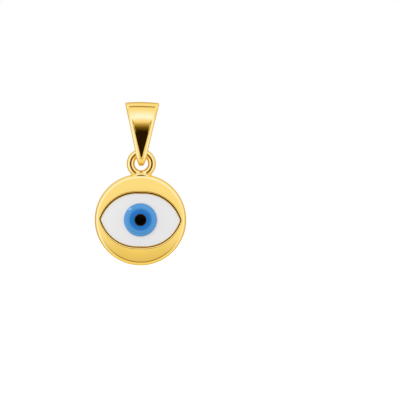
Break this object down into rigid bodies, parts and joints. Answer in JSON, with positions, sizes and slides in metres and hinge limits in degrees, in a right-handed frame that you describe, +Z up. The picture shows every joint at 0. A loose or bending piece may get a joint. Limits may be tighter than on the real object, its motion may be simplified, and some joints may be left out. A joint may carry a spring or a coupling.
{
  "type": "evil eye pendant",
  "caption": "Round domed gold pendant with a sunk almond eye of white, blue and black enamel, hanging by its loop from a tapered bail",
  "frame": {"origin": "The chain's seat: the middle of the bail's inner crown, where the pendant hangs from a chain", "axes": "+Z up, against the way the pendant hangs; the eye looks along -Y; +X runs through the bail, along the chain"},
  "size_m": [0.01, 0.0031, 0.0179],
  "materials": {
    "gold": "polished yellow gold",
    "white_enamel": "glossy white enamel",
    "blue_enamel": "glossy blue enamel",
    "black_enamel": "glossy black enamel"
  },
  "bodies": {
    "bail": {"bail": "gold"},
    "pendant": {"pendant_body": "gold", "white_enamel": "white_enamel", "blue_iris": "blue_enamel", "black_pupil": "black_enamel"}
  },
  "joints": [
    {"name": "pendant_swing", "type": "hinge", "parent": "bail", "child": "pendant", "pos_m": [0, -0.00056, -0.00511], "axis": [1, 0, 0], "range_deg": [-60, 60]}
  ]
}
